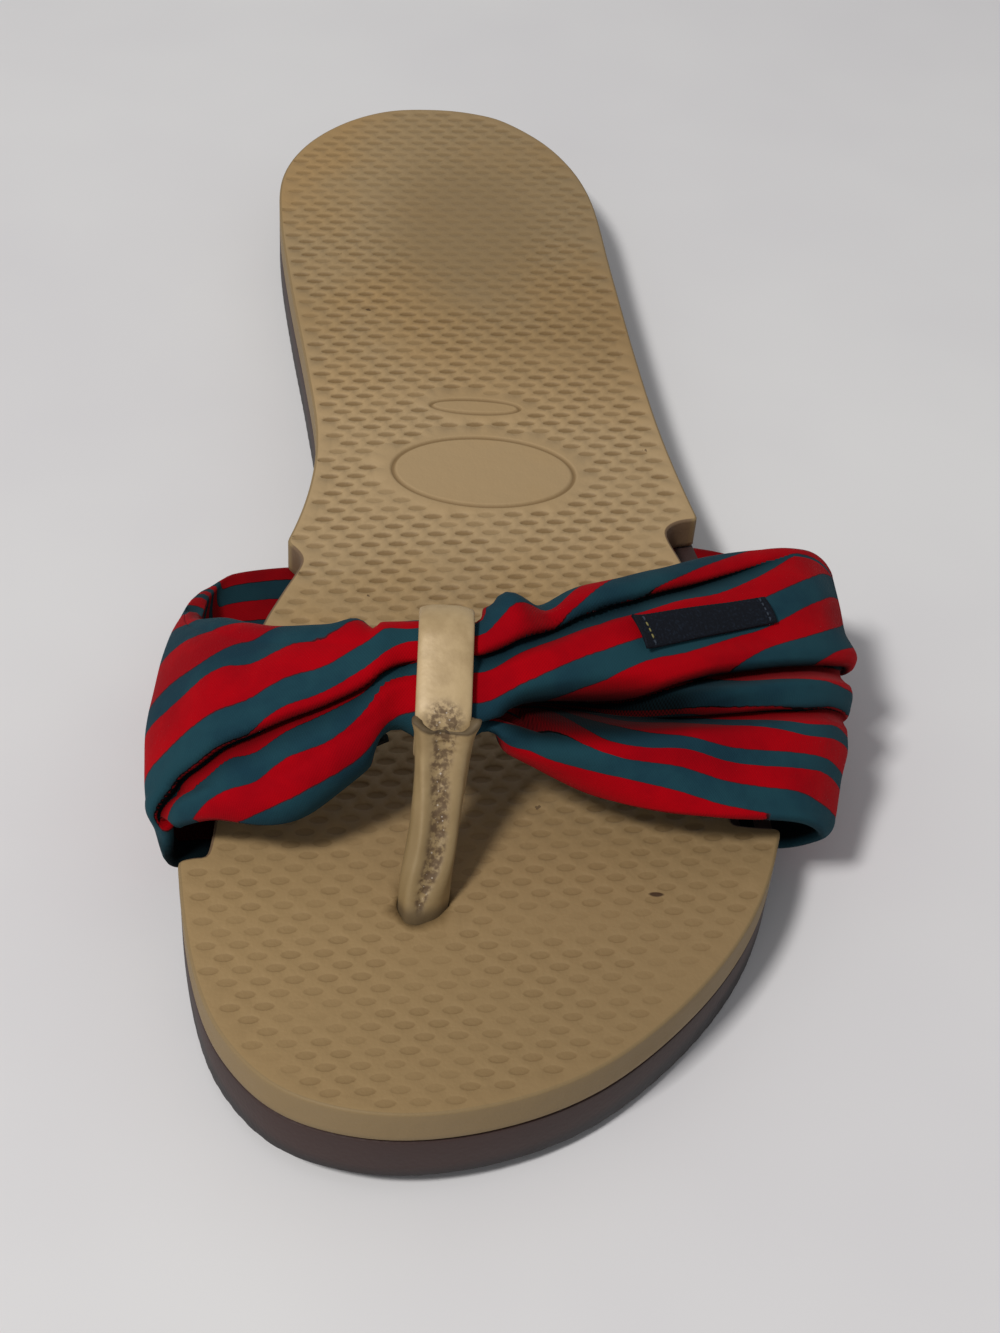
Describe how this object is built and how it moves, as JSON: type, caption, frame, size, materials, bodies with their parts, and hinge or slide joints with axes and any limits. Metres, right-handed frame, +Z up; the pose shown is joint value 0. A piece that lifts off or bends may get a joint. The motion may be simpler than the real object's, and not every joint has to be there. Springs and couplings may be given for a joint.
{
  "type": "toe-post sandal",
  "caption": "Flat left-foot sandal: a wide striped cloth band gathered in a leather loop whose post goes into the footbed between the toes.",
  "frame": {"origin": "centre of the bounding box, on the floor under the sole", "axes": "+Z up, toe towards -Y, heel towards +Y, outer (little toe) side towards +X"},
  "size_m": [0.1082, 0.258, 0.0457],
  "materials": {
    "outsole_rubber": "matte dark brown rubber",
    "footbed_rubber": "matte tan rubber with a pressed rice-grain texture",
    "striped_cloth": "smooth stretch cloth striped red and dark teal",
    "tan_leather": "satin tan leather, creased on the post",
    "dark_webbing": "fine ribbed dark webbing"
  },
  "bodies": {
    "root": {"outsole": "outsole_rubber", "footbed": "footbed_rubber", "strap": "striped_cloth", "toe_post": "tan_leather"}
  },
  "joints": []
}
